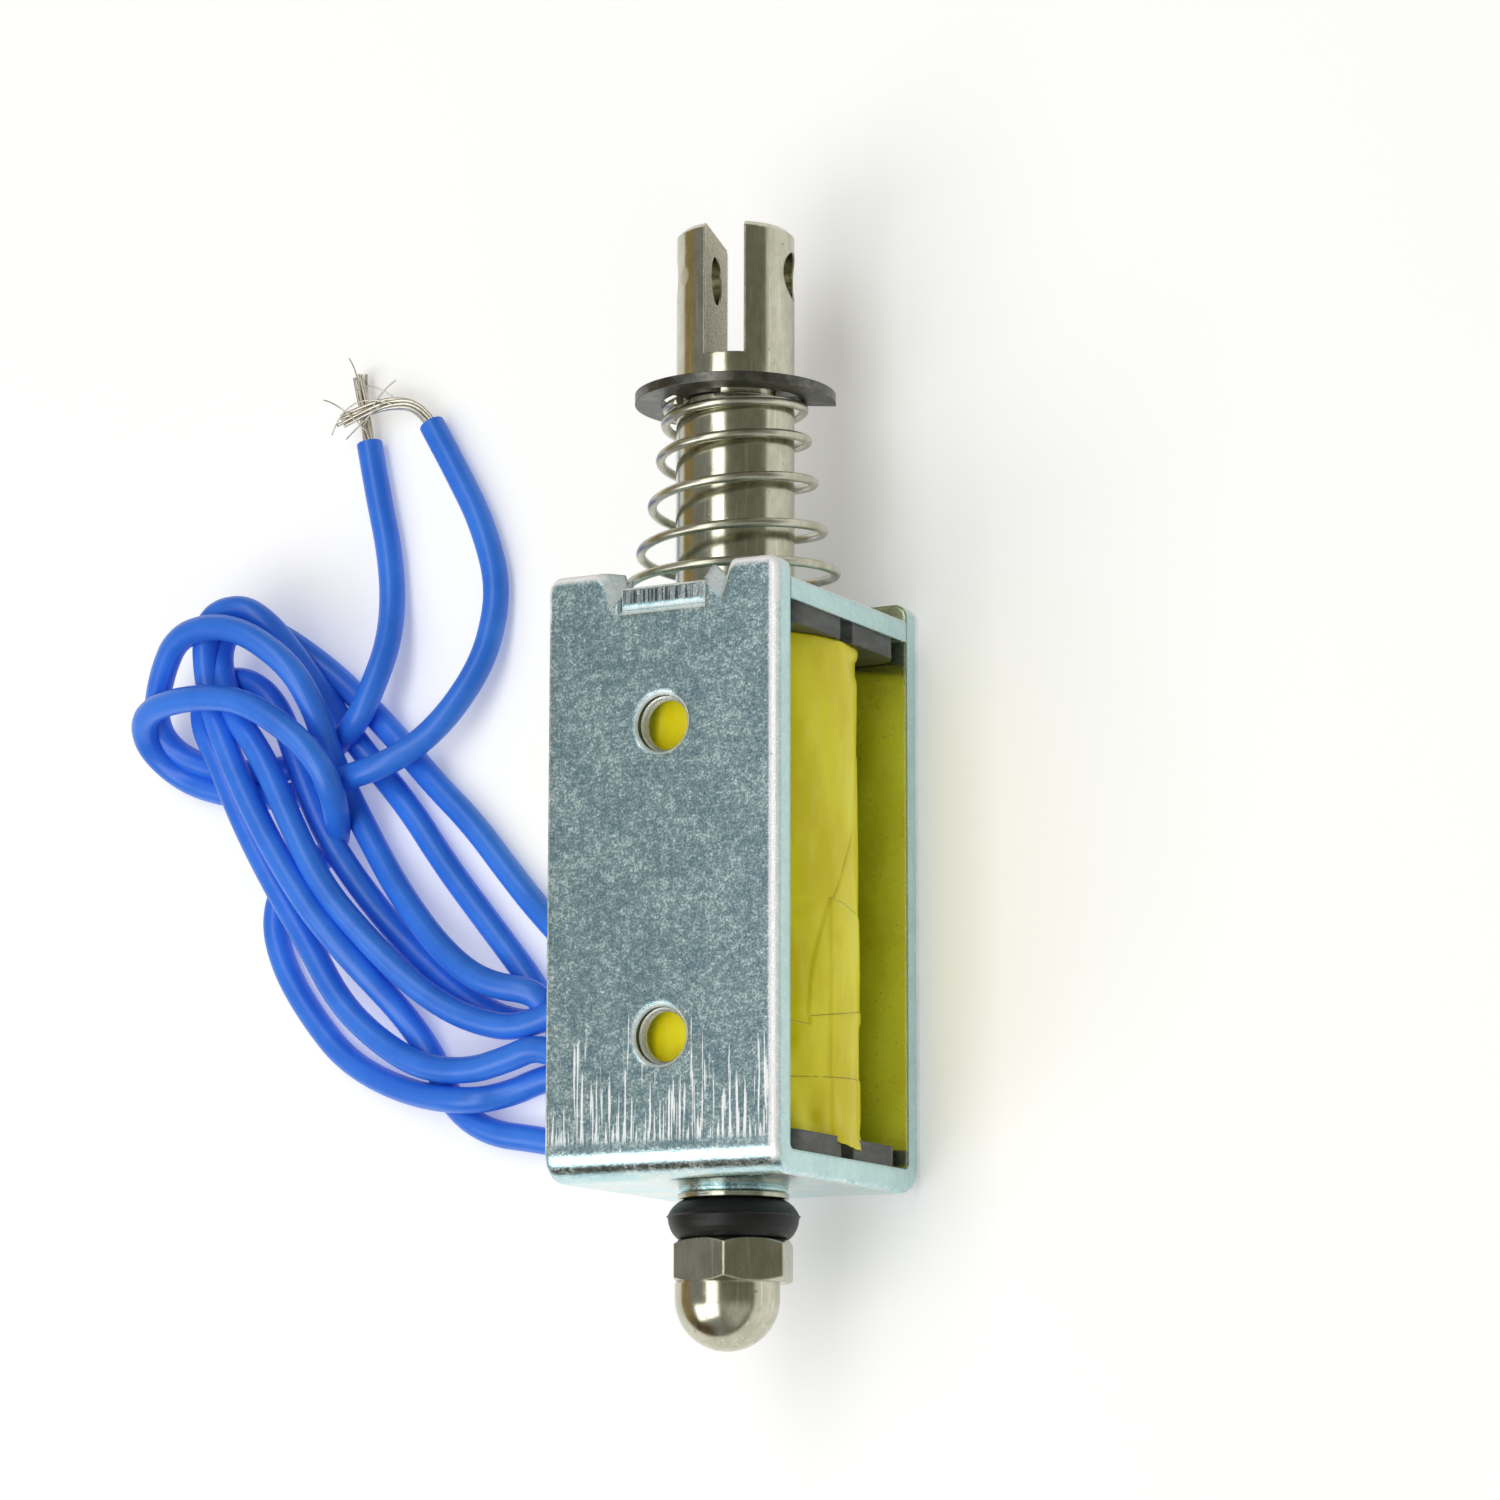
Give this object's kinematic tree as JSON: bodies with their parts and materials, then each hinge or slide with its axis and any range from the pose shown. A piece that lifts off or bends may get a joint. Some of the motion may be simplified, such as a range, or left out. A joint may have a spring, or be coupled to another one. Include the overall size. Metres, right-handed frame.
{
  "type": "push pull solenoid",
  "caption": "Open-frame push-pull solenoid: U-shaped steel frame round a taped coil, sprung plunger with a clevis, domed push rod nut and loose leads tied in a hank.",
  "frame": {"origin": "on the outer face of the front flange, midway between the two threaded mounting holes", "axes": "+Z out of the front flange, +Y along the plunger towards its clevis, +X across the flange; the solenoid lies on its back flange"},
  "size_m": [0.0468, 0.0567, 0.0151],
  "materials": {
    "zinc_steel": "bright zinc plating with a fine spangle",
    "nickel_steel": "bright nickel plating, turned",
    "black_spring_steel": "satin black oxide",
    "spring_wire": "bright nickel-plated wire",
    "black_nylon": "moulded, satin",
    "copper_wire": "enamelled",
    "yellow_tape": "glossy polyester tape",
    "brass_tube": "drawn, plain",
    "black_rubber": "moulded, matt",
    "white_label": "blank paper-like film",
    "blue_insulation": "satin PVC",
    "tinned_copper": "tinned strands"
  },
  "bodies": {
    "frame": {"c_frame": "zinc_steel", "top_plate": "zinc_steel", "bobbin": "black_nylon", "coil_winding": "copper_wire", "coil_tape": "yellow_tape", "guide_tube": "brass_tube", "fixed_core": "zinc_steel", "blank_label": "white_label", "splice_pad": "yellow_tape", "lead_splices": "tinned_copper", "return_spring": "spring_wire", "lead_hank": "blue_insulation", "lead_1_exit": "blue_insulation", "lead_1_tail": "blue_insulation", "lead_1_bare_end": "tinned_copper", "lead_2_exit": "blue_insulation", "lead_2_tail": "blue_insulation", "lead_2_bare_end": "tinned_copper"},
    "spring_seat": {"retaining_ring": "black_spring_steel"},
    "plunger": {"plunger": "nickel_steel", "push_rod": "nickel_steel", "thin_washer": "nickel_steel", "rubber_bumper": "black_rubber", "domed_nut": "nickel_steel"}
  },
  "joints": [
    {"name": "plunger_stroke", "type": "slide", "parent": "frame", "child": "spring_seat", "axis": [0, -1, 0], "range_m": [0, 0.009], "stiffness_N_per_m": 60, "springref_m": -0.005, "deforming": ["return_spring"]},
    {"name": "plunger_turn", "type": "hinge", "parent": "spring_seat", "child": "plunger", "pos_m": [0, 0.026, -0.0075], "axis": [0, 1, 0], "continuous": true}
  ]
}
